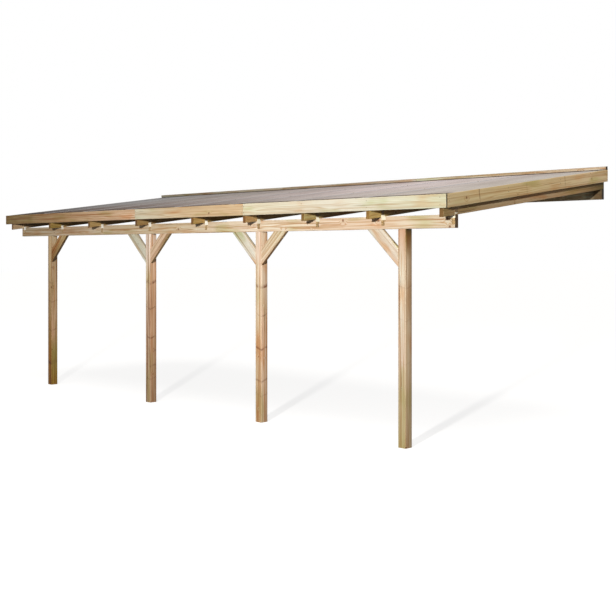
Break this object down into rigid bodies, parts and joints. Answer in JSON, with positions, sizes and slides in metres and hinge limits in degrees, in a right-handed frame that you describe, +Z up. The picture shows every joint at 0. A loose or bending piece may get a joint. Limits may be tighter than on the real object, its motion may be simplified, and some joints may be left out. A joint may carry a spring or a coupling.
{
  "type": "wall-mounted timber lean-to terrace roof",
  "caption": "Wall-mounted lean-to terrace roof of planed timber: square posts with knee braces carry a beam, sloping rafters and flat roof sheets inside edge boards.",
  "frame": {"origin": "on the wall face of the ledger, halfway along the roof and halfway up the ledger", "axes": "+X along the wall to the right as seen from the garden, +Y into the wall, +Z up"},
  "size_m": [8.514, 2.965, 2.9445],
  "materials": {
    "post_timber": "planed pressure-treated pine, knotty, honey tan",
    "brace_timber": "planed pressure-treated pine, pale to orange tan",
    "beam_timber": "planed pressure-treated pine, light tan with orange streaks",
    "ledger_timber": "planed pressure-treated pine, weathered brown",
    "rafter_timber": "planed pressure-treated pine, ochre brown",
    "purlin_timber": "sawn pressure-treated pine",
    "fascia_board": "planed pressure-treated pine board, tan to pale cream",
    "side_board": "planed pressure-treated pine board, olive tan",
    "batten_timber": "planed pressure-treated pine batten",
    "roof_sheet": "tinted multiwall polycarbonate, smooth lilac grey",
    "sheet_strip": "tinted polycarbonate tee strip",
    "anchor_steel": "hot-dip galvanised steel, bright spangle"
  },
  "bodies": {
    "root": {"post_1": "post_timber", "post_2": "post_timber", "post_3": "post_timber", "post_4": "post_timber", "brace_1_right": "brace_timber", "brace_2_left": "brace_timber", "brace_2_right": "brace_timber", "brace_3_left": "brace_timber", "brace_3_right": "brace_timber", "brace_4_left": "brace_timber", "beam_left": "beam_timber", "beam_right": "beam_timber", "ledger_left": "ledger_timber", "ledger_right": "ledger_timber", "rafter_1": "rafter_timber", "rafter_2": "rafter_timber", "rafter_3": "rafter_timber", "rafter_4": "rafter_timber", "rafter_5": "rafter_timber", "rafter_6": "rafter_timber", "rafter_7": "rafter_timber", "rafter_8": "rafter_timber", "rafter_9": "rafter_timber", "purlin_1": "purlin_timber", "purlin_2": "purlin_timber", "purlin_3": "purlin_timber", "purlin_4": "purlin_timber", "fascia_left": "fascia_board", "fascia_middle": "fascia_board", "fascia_right": "fascia_board", "side_fascia_left": "side_board", "side_fascia_right": "side_board", "roof_sheet_1": "roof_sheet", "roof_sheet_2": "roof_sheet", "roof_sheet_3": "roof_sheet", "roof_sheet_4": "roof_sheet", "roof_sheet_5": "roof_sheet", "roof_sheet_6": "roof_sheet", "roof_sheet_7": "roof_sheet", "roof_sheet_8": "roof_sheet", "sheet_strips": "sheet_strip", "wall_batten_left": "batten_timber", "wall_batten_right": "batten_timber", "rafter_anchors": "anchor_steel"}
  },
  "joints": []
}
